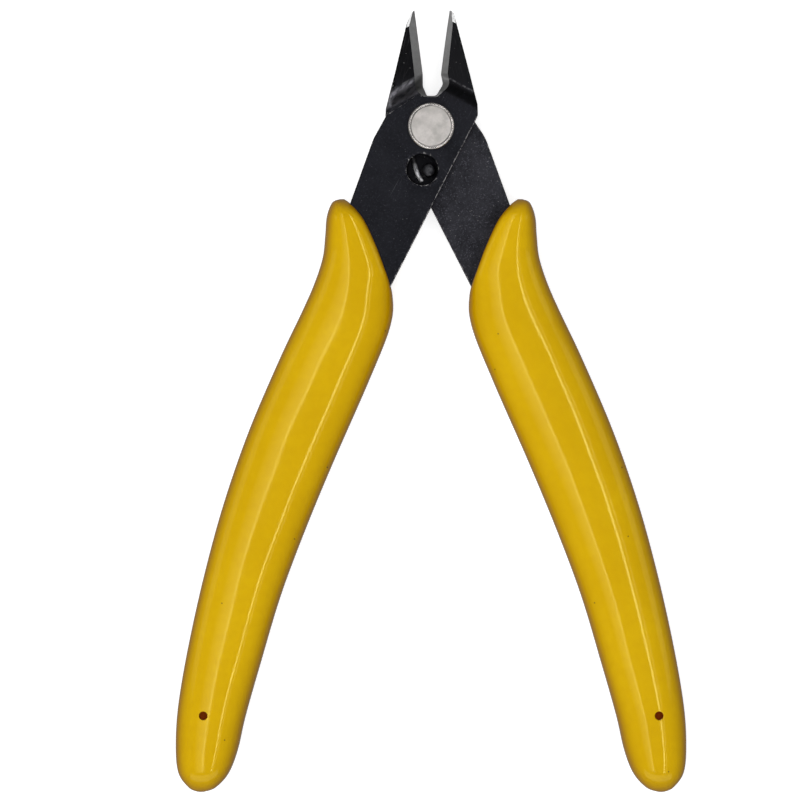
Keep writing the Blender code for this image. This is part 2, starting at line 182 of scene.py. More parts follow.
TANG = [
    (-17.3, -25.5, 8.0, "plain", BREAK),
    (-26.9, -47.0, 40.0, "plain", BREAK),
    (-34.6, -73.0, 40.0, "plain", BREAK),
    (-38.8, -98.0, 2.0, "plain", BREAK),
    (-37.5, -100.5, 1.5, "plain", BREAK),
    (-34.9, -100.5, 1.5, "plain", BREAK),
    (-28.0, -73.0, 40.0, "plain", BREAK),
    (-18.3, -47.0, 30.0, "plain", BREAK),
    (-10.6, -33.9, 10.0, "bare", BREAK),
]
REAR_INNER_EDGE = [
    (0.75, -11.6, 1.0, "scuffed", BREAK),
    (2.9, -10.4, 1.5, "plain", BREAK),
    (5.1, -6.8, 2.0, "plain", BREAK),
]
FRONT_JAW_SIDE = [
    (7.15, 0.8, 0.5, "bare", BREAK),
    (7.6, 1.8, 1.0, "plain", BREAK),
    (7.55, 3.6, 1.5, "plain", BREAK),
    (6.3, 8.6, 6.0, "plain", BREAK),
    (4.1, 17.0, 2.0, "plain", BREAK),
    (3.7, 18.5, 0.4, "plain", BREAK),
]
REAR_JAW_SIDE = [
    (7.1, 0.8, 0.5, "plain", BREAK),
    (7.42, 1.8, 1.0, "coined", 0.5),
    (7.35, 3.0, 1.5, "coined", 0.6),
    (6.45, 6.5, 1.0, "coined", 0.75),
    (6.1, 7.8, 1.0, "plain", BREAK),
    (5.82, 8.9, 1.0, "plain", BREAK),
    (4.0, 16.6, 3.0, "plain", BREAK),
    (3.2, 18.5, 0.3, "plain", BREAK),
]
TIP_BEVEL_FRONT = 0.45
TIP_BEVEL_REAR = 0.4
FACET_FRONT = 16.9          # where the small ground facet on each tip starts
FACET_REAR = 16.2
FACET_SLOPE = 0.06
FACET_LEAN = 0.03
FACET_SIDE = 3.8

# Left grip: matching points down its outer side and its mouth and inner side
GRIP_STATIONS = [
    ((-14.9, -11.75), (-14.1, -11.75)),
    ((-16.1, -12.35), (-12.9, -12.7)),
    ((-16.95, -14.6), (-11.0, -15.0)),
    ((-17.2, -17.6), (-9.2, -18.7)),
    ((-17.6, -21.2), (-7.7, -22.6)),
    ((-18.9, -25.3), (-6.25, -27.4)),
    ((-20.9, -29.9), (-6.65, -32.6)),
    ((-24.6, -37.7), (-10.2, -41.6)),
    ((-29.6, -49.4), (-15.9, -54.6)),
    ((-33.7, -61.2), (-20.45, -65.6)),
    ((-36.9, -72.9), (-24.4, -76.2)),
    ((-39.5, -84.6), (-27.6, -86.9)),
    ((-41.1, -94.0), (-30.1, -95.7)),
    ((-41.5, -100.4), (-31.4, -101.3)),
    ((-41.1, -104.9), (-32.9, -105.1)),
    ((-39.4, -107.4), (-35.0, -107.4)),
    ((-37.9, -108.1), (-36.9, -108.1)),
]

# Surroundings, in metres: the camera is straight above, with the tool a little right of the middle
FIELD = 0.1301
SENSOR = 36                 # in millimetres
CAMERA_HEIGHT = 0.9
VIEW_CENTRE = Vector((-0.00504, 0.0002, GRIP_HALF * MM))
FLOOR_SIZE = 1.5
FLOOR_DROP = 0.00002
LIGHT_DISTANCE = 1.2


# ---------------------------------------------------------------- outlines

def rounded(corners):
    """Turn (x, y, radius) corners into a list of (point, corner index): an arc, or one point if sharp."""
    points = []
    for index, (x, y, radius) in enumerate(corners):
        here = Vector((x, y))
        if radius == 0:
            points.append((here, index))
            continue
        back = Vector(corners[index - 1][:2]) - here
        on = Vector(corners[(index + 1) % len(corners)][:2]) - here
        half = back.angle(on) / 2
        reach = min(radius / math.tan(half), 0.48 * back.length, 0.48 * on.length)
        start = here + back.normalized() * reach
        end = here + on.normalized() * reach
        middle = here + (back.normalized() + on.normalized()).normalized() * reach / math.cos(half)
        spoke = start - middle
        sweep = spoke.angle_signed(end - middle)
        for step in range(ARC_STEPS + 1):
            points.append((middle + Matrix.Rotation(-sweep * step / ARC_STEPS, 2) @ spoke, index))
    return points


def crossing(first, second):
    """Where two lines meet, each given by two points; the middle of the gap if they are parallel."""
    (a, b), (c, d) = first, second
    one = b - a
    two = d - c
    turn = one.cross(two)
    if abs(turn) < NEARLY_PARALLEL * one.length * two.length:
        return (b + c) / 2
    return a + one * ((c - a).cross(two) / turn)


def inset(corners, before, after):
    """The corners moved inward: edges start at after[i] and end at before[i + 1] from the old ones."""
    lines = []
    count = len(corners)
    for index in range(count):
        start = Vector(corners[index][:2])
        end = Vector(corners[(index + 1) % count][:2])
        along = (end - start).normalized()
        inward = Vector((-along.y, along.x))
        lines.append((start + inward * after[index], end + inward * before[(index + 1) % count]))
    moved = []
    for index in range(count):
        point = crossing(lines[index - 1], lines[index])
        radius = corners[index][2]
        if radius:
            back = Vector(corners[index][:2]) - Vector(corners[index - 1][:2])
            on = Vector(corners[(index + 1) % count][:2]) - Vector(corners[index][:2])
            bulge = 1 if back.cross(on) > 0 else -1
            radius = max(SMALLEST_RADIUS, radius - bulge * after[index])
        moved.append((point.x, point.y, radius))
    return moved


def circle(x, y, radius, steps=CIRCLE_STEPS):
    return [Vector((x + radius * math.cos(a), y + radius * math.sin(a)))
            for a in (math.tau * step / steps for step in range(steps))]


# ---------------------------------------------------------------- mesh helpers

def new_piece(name, mesh):
    piece = bpy.data.objects.new(name, mesh)
    bpy.context.scene.collection.objects.link(piece)
    piece.location = PIVOT
    return piece


def mesh_from(cage, name):
    """The cage, in millimetres from the pivot, as a mesh in metres."""
    bmesh.ops.scale(cage, vec=(MM, MM, MM), verts=cage.verts)
    mesh = bpy.data.meshes.new(name)
    cage.to_mesh(mesh)
    cage.free()
    return mesh


def join_rings(cage, rings, closed=True):
    """Quads between neighbouring rings. Gives them back ring by ring."""
    bands = []
    for first, second in zip(rings, rings[1:]):
        count = len(first)
        band = []
        for index in range(count if closed else count - 1):
            after = (index + 1) % count
            band.append(cage.faces.new((first[index], first[after], second[after], second[index])))
        bands.append(band)
    return bands


def ring_edges(cage, ring):
    return [cage.edges.get((ring[index - 1], ring[index])) for index in range(len(ring))]


def prism(name, loop, low, high):
    """A plain solid between two heights, used to cut other pieces."""
    cage = bmesh.new()
    top = [cage.verts.new((p.x, p.y, high)) for p in loop]
    bottom = [cage.verts.new((p.x, p.y, low)) for p in loop]
    join_rings(cage, [top, bottom])
    cage.faces.new(top)
    cage.faces.new(bottom)
    bmesh.ops.recalc_face_normals(cage, faces=cage.faces)
    return new_piece(name, mesh_from(cage, name))


def turned(name, profile, x=0.0, y=0.0, steps=CIRCLE_STEPS):
    """A turned solid on the vertical axis through (x, y), from (radius, height) pairs, top to bottom."""
    cage = bmesh.new()
    rings = []
    for radius, height in profile:
        if radius == 0:
            rings.append([cage.verts.new((x, y, height))])
        else:
            rings.append([cage.verts.new((p.x, p.y, height)) for p in circle(x, y, radius, steps)])
    for first, second in zip(rings, rings[1:]):
        for index in range(steps):
            after = (index + 1) % steps
            corners = [first[index % len(first)], first[after % len(first)],
                       second[after % len(second)], second[index % len(second)]]
            cage.faces.new(list(dict.fromkeys(corners)))
    bmesh.ops.recalc_face_normals(cage, faces=cage.faces)
    return new_piece(name, mesh_from(cage, name))


def cut(piece, cutters):
    """Take the cutters out of the piece, and delete them."""
    for cutter in cutters:
        boolean = piece.modifiers.new(cutter.name, "BOOLEAN")
        boolean.operation = "DIFFERENCE"
        boolean.solver = "EXACT"
        boolean.object = cutter
    bpy.context.view_layer.update()
    solid = piece.evaluated_get(bpy.context.evaluated_depsgraph_get())
    mesh = bpy.data.meshes.new_from_object(solid)
    piece.modifiers.clear()
    piece.data = mesh
    for cutter in cutters:
        bpy.data.objects.remove(cutter)


def smooth(piece, angle):
    """Smooth shading, with edges sharper than the angle kept crisp."""
    piece.data.polygons.foreach_set("use_smooth", [True] * len(piece.data.polygons))
    piece.data.set_sharp_from_angle(angle=math.radians(angle))


# ---------------------------------------------------------------- blades

def edge_section(kind, width, y, low, high):
    """(inset, height, wear) down the edge of a plate, from its top face to its bottom face.

    Wear is 0 where the oxide is whole and 1 where an edge is rubbed. It fades out over a short way.
    """
    fade = {"bare": 0.06, "scuffed": 0.8}.get(kind, FADE) if y < 15 else 0.03
    if kind == "ground":
        steep = STEEP * min(1, width / 0.8)
        drop = (width - steep) * GRIND_SLOPE
        wall = drop + (high - low - LAND - drop) * min(1, width / 0.6)
        top = [(width, high, 0.3), (steep, high - drop, 0.6), (0, high - wall, 1)]
        foot = 0.03
    elif kind == "coined":
        top = [(width, high, 0.4), (0.14, high - 0.3, 0.9), (0, high - 0.6, 0.5)]
        foot = BREAK
    else:
        worn = {"bare": 2.2, "scuffed": 1.2}.get(kind, 1)
        top = [(width, high, 0.7 * worn), (width * 0.3, high - width * 0.3, worn), (0, high - width, 0.8)]
        foot = BREAK
    wall_top = top[-1][1]
    wall_foot = low + foot
    margin = min(FADE, 0.3 * (wall_top - wall_foot))
    return [
        (width + fade, high, 0),
        *top,
        (0, wall_top - margin, 0),
        (0, wall_foot + margin, 0),
        (0, wall_foot, 0.8),
        (foot, low, 0.7),
        (foot + fade, low, 0),
    ]


def blade(name, rows, holes, low, high, side, materials):
    """A stamped plate whose jaw is on the given side, with worn, ground and coined edges."""
    cage = bmesh.new()
    wear = cage.verts.layers.float.new("wear")
    corners = [row[:3] for row in rows]
    sections = [edge_section(row[3], row[4], row[1], low, high) for row in rows]
    plain = edge_section("plain", BREAK, TIP_Y, low, high)
    outline_rings = []
    for place in range(len(plain)):
        after = [section[place][0] for section in sections]
        before = list(after)
        before[0] = plain[place][0]     # the grinding ends at the tip's inner corner
        ring = []
        for point, corner in rounded(inset(corners, before, after)):
            vert = cage.verts.new((side * point.x, point.y, sections[corner][place][1]))
            vert[wear] = sections[corner][place][2]
            ring.append(vert)
        outline_rings.append(ring)
    owners = [corner for point, corner in rounded(corners)]
    bands = join_rings(cage, outline_rings)
    for band in bands[1:3]:
        for index, face in enumerate(band):
            if rows[owners[index]][3] == "ground":
                face.material_index = GROUND
    loops = [outline_rings]
    for x, y, radius, kind, rim in holes:
        rings = []
        for distance, height, worn in edge_section(kind, rim, 0, low, high):
            ring = [cage.verts.new((p.x, p.y, height)) for p in circle(x, y, radius + distance)]
            for vert in ring:
                vert[wear] = worn
            rings.append(ring)
        join_rings(cage, rings)
        loops.append(rings)
    for end in (0, -1):
        edges = [edge for rings in loops for edge in ring_edges(cage, rings[end])]
        bmesh.ops.triangle_fill(cage, use_beauty=True, use_dissolve=False, edges=edges)
    bmesh.ops.remove_doubles(cage, verts=cage.verts, dist=0.0005)
    bmesh.ops.recalc_face_normals(cage, faces=cage.faces)
    piece = new_piece(name, mesh_from(cage, name))
    for material in materials:
        piece.data.materials.append(material)
    return piece


def grind_tip(piece, side, start, high):
    """Grind the small facet that slopes down to the tip."""
    cage = bmesh.new()
    cage.from_mesh(piece.data)
    slope = Vector((side * FACET_LEAN, FACET_SLOPE, 1)).normalized()
    origin = Vector((side * FACET_SIDE, start, high)) * MM
    everything = cage.verts[:] + cage.edges[:] + cage.faces[:]
    cut_up = bmesh.ops.bisect_plane(cage, geom=everything, dist=WELD / 10, plane_co=origin, plane_no=slope,
                                    clear_outer=True)
    rim = [item for item in cut_up["geom_cut"] if isinstance(item, bmesh.types.BMEdge)]
    for face in bmesh.ops.edgeloop_fill(cage, edges=rim)["faces"]:
        face.material_index = FACET
    bmesh.ops.recalc_face_normals(cage, faces=cage.faces)
    cage.to_mesh(piece.data)
    cage.free()


def joggle(piece, side, shift):
    """Bend the jaw out of its plate's plane, so that both jaws end at the same height.

    The bend and the crease where it ends are marked for the material.
    """
    normal = Vector((side * math.sin(BEND_ANGLE), math.cos(BEND_ANGLE), 0))
    cage = bmesh.new()
    cage.from_mesh(piece.data)
    for step in range(BEND_STEPS + 2):
        distance = BEND_START + (BEND_END - BEND_START) * step / BEND_STEPS
        everything = cage.verts[:] + cage.edges[:] + cage.faces[:]
        bmesh.ops.bisect_plane(cage, geom=everything, dist=WELD / 10,
                               plane_co=normal * distance * MM, plane_no=normal)
    bend = cage.verts.layers.float.new("bend")
    crease = cage.verts.layers.float.new("crease")
    for vert in cage.verts:
        share = (vert.co.dot(normal) / MM - BEND_START) / (BEND_END - BEND_START)
        vert[crease] = max(0, 1 - abs(share - 1) * BEND_STEPS)
        share = min(1, max(0, share))
        vert.co.z += shift * MM * share * share * (3 - 2 * share)
        vert[bend] = min(1, share * 5, (1 - share) * 5)
    cage.to_mesh(piece.data)
    cage.free()


def blade_rows(edge_angle, throat, lap_edge, jaw_side, tip_bevel, inner_edge=()):
    """The corners of a blade, from the inner corner of its tip."""
    tip = Vector((TIP_Y * math.tan(edge_angle) + EDGE_GAP, TIP_Y))
    outer = Vector(jaw_side[-1][:2])
    bevel_end = tip + (outer - tip) * (tip_bevel + 0.03) / (outer.x - tip.x)
    return [(*tip, 0, "ground", tip_bevel), *throat, *lap_edge, *TANG, *inner_edge, *jaw_side,
            (*bevel_end, 0, "plain", BREAK)]


FRONT_ROWS = blade_rows(FRONT_EDGE_ANGLE, FRONT_THROAT, FRONT_LAP_EDGE, FRONT_JAW_SIDE, TIP_BEVEL_FRONT)
REAR_ROWS = blade_rows(REAR_EDGE_ANGLE, REAR_THROAT, REAR_LAP_EDGE, REAR_JAW_SIDE, TIP_BEVEL_REAR,
                       REAR_INNER_EDGE)


def pocket_cutters():
    """The recess in the back of the front blade: a ring for the coil and room for both legs."""
    ring = circle(0, 0, POCKET_RADIUS)
    sweep = [(-4.0, 0.5, 0.2), (-4.6, -4.5, 2.0), (-4.9, -8.0, 1.5), (-4.4, -10.2, 0.5),
             (-0.9, -10.2, 0.5), (-1.9, -6.5, 0.5), (-2.6, -2.0, 0.2)]
    groove = [(3.0, 0.0, 0.1), (2.5, -4.6, 0.35), (3.4, -4.9, 0.35), (4.0, 0.0, 0.1)]
    legs = [[point for point, corner in rounded(corners)] for corners in (sweep, groove)]
    return [prism(f"pocket_{index}", loop, -1.0, POCKET_TOP) for index, loop in enumerate([ring, *legs])]


def front_blade(materials):
    holes = [(0, 0, RIVET_HOLE, "plain", 0.1), (*WINDOW, "scuffed", 0.16)]
    piece = blade("front_blade_steel", FRONT_ROWS, holes, LAP_FACE, PLATE_FACE, 1, materials)
    cut(piece, pocket_cutters())
    grind_tip(piece, 1, FACET_FRONT, PLATE_FACE)
    joggle(piece, 1, -JAW_SHIFT)
    smooth(piece, 35)
    return piece


def rear_blade(materials):
    piece = blade("rear_blade_steel", REAR_ROWS, [], -PLATE_FACE, -LAP_FACE, -1, materials)
    cut(piece, [prism("rivet_bore", circle(0, 0, RIVET_HOLE), -4, 4)])
    grind_tip(piece, -1, FACET_REAR, -LAP_FACE)
    joggle(piece, -1, JAW_SHIFT)
    smooth(piece, 35)
    return piece


# ---------------------------------------------------------------- grips

def curve_through(points, place):
    """A smooth curve through the points, read at a place counted in points."""
    first = min(int(place), len(points) - 2)
    share = place - first
    a, b, c, d = (Vector(points[min(max(first + step, 0), len(points) - 1)]) for step in (-1, 0, 1, 2))
    return b + (c - a) * share / 2 + (2 * a - 5 * b + 4 * c - d) * share ** 2 / 2 \
        + (3 * b - a - 3 * c + d) * share ** 3 / 2


def grip_section(place, side):
    """One ring of a grip: over its top from the outer side to the inner side, and back below."""
    outer = curve_through([station[0] for station in GRIP_STATIONS], place)
    inner = curve_through([station[1] for station in GRIP_STATIONS], place)
    middle_y = (outer.y + inner.y) / 2
    from_end = min((HORN_TOP - middle_y) / HORN_ROUND, (middle_y - BUTT_END) / BUTT_ROUND, 1)
    rise = math.sqrt(1 - (1 - from_end) ** 2)
    mouth = min(1, max(0, (MOUTH_END - place) / 1.2))
    wall = EDGE_HEIGHT + (MOUTH_HEIGHT - EDGE_HEIGHT) * mouth * mouth * (3 - 2 * mouth)
    top = []
    bottom = []
    for step in range(ACROSS + 1):
        share = (1 - math.cos(math.pi * step / ACROSS)) / 2
        bulge = (1 - abs(2 * share - 1) ** ROUNDNESS) ** (1 / ROUNDNESS)
        foot = EDGE_HEIGHT if share < 0.5 else wall
        point = outer + (inner - outer) * share
        sink = noise.noise(Vector((point.x / 9, point.y / 13, side * 7))) - 0.35
        dip = 1 + SINK * min(0, sink)
        top.append((-side * point.x, point.y, (foot + (GRIP_HALF - foot) * bulge) * rise * dip))
        under = (foot + (GRIP_HALF * LAND_CROWN - foot) * bulge) * rise
        bottom.append((-side * point.x, point.y, -min(under, GRIP_HALF)))
    return top + bottom[::-1]


def grip(name, side, rows, low, high):
    """A grip moulded over a tang: side is -1 for the left one and 1 for the right one."""
    cage = bmesh.new()
    steps = STATION_STEPS * (len(GRIP_STATIONS) - 1)
    rings = [[cage.verts.new(point) for point in grip_section(step / STATION_STEPS, side)]
             for step in range(steps + 1)]
    join_rings(cage, rings)
    cage.faces.new(rings[0])
    cage.faces.new(rings[-1])
    bmesh.ops.recalc_face_normals(cage, faces=cage.faces)
    piece = new_piece(name, mesh_from(cage, name))
    corners = [row[:3] for row in rows]
    wider = [-TANG_GAP] * len(corners)
    socket = [Vector((-side * point.x, point.y)) for point, corner in rounded(inset(corners, wider, wider))]
    hole_x, hole_y, radius = HOLE
    narrow = radius - HOLE_TAPER
    hole = [(0, GRIP_HALF + 0.6), (radius + 0.5, GRIP_HALF + 0.6), (radius - 0.02, GRIP_HALF - 0.02),
            (narrow, GRIP_HALF - 0.3), (narrow, HOLE_BOTTOM + 0.1), (0, HOLE_BOTTOM)]
    cut(piece, [prism(name + "_socket", socket, low - TANG_GAP, high + TANG_GAP),
                turned(name + "_hole", hole, -side * hole_x, hole_y, 48)])
    smooth(piece, 40)
    return piece


# ---------------------------------------------------------------- rivet, pin, spring

def arc(centre_r, centre_z, radius, start, end, steps=6):
    """Points of a rounded edge in a turned profile, by angle from the horizontal."""
    return [(centre_r + radius * math.cos(math.radians(a)), centre_z + radius * math.sin(math.radians(a)))
            for a in (start + (end - start) * step / steps for step in range(steps + 1))]


def pivot_rivet():
    """A rivet with a broad, nearly flat head, a groove inside its rim, and a hollowed tail."""
    dome = [((RIVET_GROOVE - 0.1) * share, RIVET_TOP - 0.05 * share ** 4)
            for share in (0, 0.25, 0.5, 0.7, 0.85, 0.95, 1)]
    groove = [(RIVET_GROOVE + step, RIVET_TOP - depth)
              for step, depth in ((-0.05, 0.11), (0, 0.12), (0.06, 0.08))]
    edge = groove + arc(RIVET_HEAD - 0.33, RIVET_TOP - 0.38, 0.33, 100, 0, 10)
    under = PLATE_FACE + 0.04
    tail = arc(RIVET_TAIL - 0.3, RIVET_BOTTOM + 0.3, 0.3, 0, -90)
    shank = [(RIVET_HEAD, under), (RIVET_SHANK, under), (RIVET_SHANK, -under), (RIVET_TAIL, -under)]
    hollow = [(1.6, RIVET_BOTTOM), (1.2, RIVET_BOTTOM + 0.25), (0, RIVET_BOTTOM + 0.32)]
    profile = dome + edge + shank + tail + hollow
    piece = turned("pivot_rivet_nickel", profile, steps=128)
    smooth(piece, 32)
    return piece


def stop_pin():
    """A stud with a domed head, whose shank goes through the rear blade."""
    dome = [(PIN_RADIUS * math.sin(a), PIN_TOP - PIN_CROWN * (1 - math.cos(a)))
            for a in (math.radians(7.5 * step) for step in range(13))]
    profile = dome + [(PIN_RADIUS, 0), (PIN_SHANK, 0), (PIN_SHANK, -PLATE_FACE + 0.05),
                      (PIN_SHANK - 0.1, -PLATE_FACE), (0, -PLATE_FACE)]
    piece = turned("stop_pin_steel", profile, PIN.x, PIN.y, 48)
    smooth(piece, 40)
    return piece


def return_spring():
    """A wire hairpin round the rivet: one leg bears on the pin, the other is held in its groove."""
    held_leg = [(2.98, -4.3), (3.3, -2.8), (3.54, -1.4)]
    coil = [(COIL * math.cos(a), COIL * math.sin(a))
            for a in (math.radians(angle) for angle in range(0, 181, 15))]
    free_leg = [(-3.56, -1.4), (-3.38, -2.9), (-3.03, -4.6), (-2.72, -5.8), (-2.44, -6.9), (-2.05, -7.95),
                (-1.45, -8.9)]
    route = held_leg + coil + free_leg
    fine = 4
    path = [curve_through(route, step / fine) for step in range(fine * (len(route) - 1) + 1)]
    cage = bmesh.new()
    light_and_rub = cage.verts.layers.float.new("light_and_rub")
    rings = []
    around = 16
    last = len(path) - 1
    for index, point in enumerate(path):
        along = (path[min(index + 1, last)] - path[max(index - 1, 0)]).normalized()
        across = Vector((-along.y, along.x))
        if index == 0:
            sizes = [(WIRE * 0.8, 0), (WIRE, WIRE_END)]
        elif index == last:
            sizes = [(WIRE, -WIRE_END), (WIRE * 0.8, 0)]
        else:
            sizes = [(WIRE, 0)]
        for radius, shift in sizes:
            centre = point + along * shift
            ring = []
            for step in range(around):
                turn = math.tau * step / around
                side = centre + across * radius * math.cos(turn)
                vert = cage.verts.new((side.x, side.y, SPRING_Z + radius * math.sin(turn)))
                # painted shadow: 0 up the leg and round the coil, where the wire is painted black, rising to
                # 1 at its free end
                vert[light_and_rub] = min(1, max(0, -5.9 - centre.y))
                ring.append(vert)
            rings.append(ring)
    join_rings(cage, rings)
    cage.faces.new(rings[0])
    cage.faces.new(rings[-1])
    bmesh.ops.recalc_face_normals(cage, faces=cage.faces)
    piece = new_piece("return_spring_wire", mesh_from(cage, "return_spring_wire"))
    smooth(piece, 50)
    return piece


# ---------------------------------------------------------------- materials

class Recipe:
    """A material being put together from shader nodes."""

    def __init__(self, name, metallic, **values):
        self.material = bpy.data.materials.new(name)
        self.material.use_nodes = True
        self.tree = self.material.node_tree
        self.shader = self.tree.nodes["Principled BSDF"]
        self.shader.inputs["Metallic"].default_value = metallic
        for socket, value in values.items():
            self.shader.inputs[socket.replace("_", " ")].default_value = value
        self.place = self.tree.nodes.new("ShaderNodeTexCoord").outputs["Object"]

    def add(self, kind, links, **settings):
        """A new node with its settings and inputs: an input is a number, a tuple or another output."""
        node = self.tree.nodes.new(kind)
        for key, value in settings.items():
            setattr(node, key, value)
        for socket, value in links.items():
            if isinstance(value, bpy.types.NodeSocket):
                self.tree.links.new(value, node.inputs[socket])
            else:
                node.inputs[socket].default_value = value
        return node

    def noise(self, size, detail=2.0, stretch=(1, 1, 1), turn=0.0, seed=0.0, roughness=0.5):
        """Soft noise with features of about that size in millimetres, stretched and turned about Z."""
        turned_place = self.add("ShaderNodeVectorRotate", {"Vector": self.place, "Angle": math.radians(turn)},
                                rotation_type="Z_AXIS").outputs[0]
        scale = tuple(1 / (size * MM * amount) for amount in stretch)
        place = self.add("ShaderNodeMapping", {"Vector": turned_place, "Scale": scale,
                                               "Location": (seed, seed * 1.7, seed * 0.6)}).outputs[0]
        return self.add("ShaderNodeTexNoise", {"Vector": place, "Scale": 1.0, "Detail": detail,
                                               "Roughness": roughness}).outputs["Fac"]

    def dots(self, size, radius, share, seed=0.0):
        """Sparse round dots: cells of that size, a share of which hold a dot. Both in millimetres."""
        place = self.add("ShaderNodeMapping", {"Vector": self.place, "Scale": (1 / (size * MM),) * 3,
                                               "Location": (seed,) * 3}).outputs[0]
        cells = self.add("ShaderNodeTexVoronoi", {"Vector": place, "Scale": 1.0}, voronoi_dimensions="2D")
        near = self.ramp(cells.outputs["Distance"], radius / size, radius / size * 0.5)
        picked = self.ramp(cells.outputs["Color"], 1 - share, 1 - share + 0.01)
        return self.math("MULTIPLY", near, picked)

    def ramp(self, value, low, high, out_low=0.0, out_high=1.0):
        return self.add("ShaderNodeMapRange", {"Value": value, "From Min": low, "From Max": high,
                                               "To Min": out_low, "To Max": out_high},
                        interpolation_type="SMOOTHSTEP").outputs["Result"]

    def math(self, operation, first, second):
        node = self.add("ShaderNodeMath", {0: first, 1: second}, operation=operation)
        return node.outputs[0]

    def mix(self, factor, first, second):
        node = self.tree.nodes.new("ShaderNodeMix")
        node.data_type = "RGBA"
        for index, value in ((0, factor), (6, first), (7, second)):
            if isinstance(value, bpy.types.NodeSocket):
                self.tree.links.new(value, node.inputs[index])
            else:
                node.inputs[index].default_value = (*value, 1) if index else value
        return node.outputs[2]

    def attribute(self, name):
        return self.add("ShaderNodeAttribute", {}, attribute_name=name).outputs["Fac"]

    def steepness(self, steep, flat):
        """1 where the surface stands upright, 0 where it lies flat, by the height of its normal."""
        normal = self.add("ShaderNodeTexCoord", {}).outputs["Normal"]
        up = self.add("ShaderNodeSeparateXYZ", {"Vector": normal}).outputs["Z"]
        return self.ramp(self.math("ABSOLUTE", up, 0.0), flat, steep)

    def along(self, axis):
        """A coordinate, in millimetres from the pivot."""
        split = self.add("ShaderNodeSeparateXYZ", {"Vector": self.place})
        return self.math("MULTIPLY", split.outputs[axis], 1 / MM)

    def bump(self, height, distance, normal=None):
        """Relief that many millimetres deep."""
        links = {"Height": height, "Distance": distance * MM, "Strength": 1.0}
        if normal is not None:
            links["Normal"] = normal
        return self.add("ShaderNodeBump", links).outputs["Normal"]

    def finish(self, colour=None, roughness=None, normal=None):
        for socket, value in (("Base Color", colour), ("Roughness", roughness), ("Normal", normal)):
            if value is not None:
                self.tree.links.new(value, self.shader.inputs[socket])
        return self.material


def vinyl(name, side, seed):
    """Glossy moulded vinyl: faint clouding, orange peel, a few specks, painted shade on steep sides and in
    the hole.
    """
    look = Recipe(name, 0.0, Specular_IOR_Level=0.5, IOR=1.5, Specular_Tint=(1, 0.95, 0.32, 1))
    cloud = look.ramp(look.noise(16, seed=seed), 0.3, 0.7)
    fine = look.ramp(look.noise(1.5, detail=4, seed=seed + 3), 0.3, 0.7)
    colour = look.mix(cloud, (0.62, 0.372, 0.0012), (0.655, 0.402, 0.002))
    colour = look.mix(look.math("MULTIPLY", fine, 0.25), colour, (0.56, 0.315, 0.001))
    # painted shade: the steep sides are painted a deeper orange, standing for the shade that falls on them
    colour = look.mix(look.steepness(0.25, 0.95), colour, (0.44, 0.21, 0.0008))
    # painted shade: the inside of the blind hole is painted dark red-brown, standing for the shade in it, and
    # made rough
    axis = (-side * HOLE[0] * MM, HOLE[1] * MM, 0)
    flat = look.add("ShaderNodeVectorMath", {0: look.place, 1: (1, 1, 0)}, operation="MULTIPLY").outputs[0]
    near = look.add("ShaderNodeVectorMath", {0: flat, 1: axis}, operation="DISTANCE").outputs["Value"]
    height = look.along("Z")
    inside = look.math("MULTIPLY", look.ramp(height, GRIP_HALF - 0.15, GRIP_HALF - 0.6),
                       look.ramp(height, HOLE_BOTTOM - 0.6, HOLE_BOTTOM - 0.3))
    deep = look.math("MULTIPLY", look.ramp(near, 1.0 * MM, 0.85 * MM), inside)
    colour = look.mix(deep, colour, (0.34, 0.058, 0.003))
    specks = look.dots(5.5, 0.17, 0.16, seed)
    colour = look.mix(look.math("MULTIPLY", specks, 0.75), colour, (0.12, 0.06, 0.01))
    rough = look.ramp(look.noise(3, detail=3, seed=seed + 9), 0.25, 0.75, 0.07, 0.1)
    rough = look.math("MAXIMUM", rough, deep)
    peel = look.bump(look.noise(2.2, detail=1, seed=seed + 5), 0.004)
    dust = look.bump(look.noise(0.3, detail=2, seed=seed + 6), 0.0004, peel)
    return look.finish(colour, rough, dust)


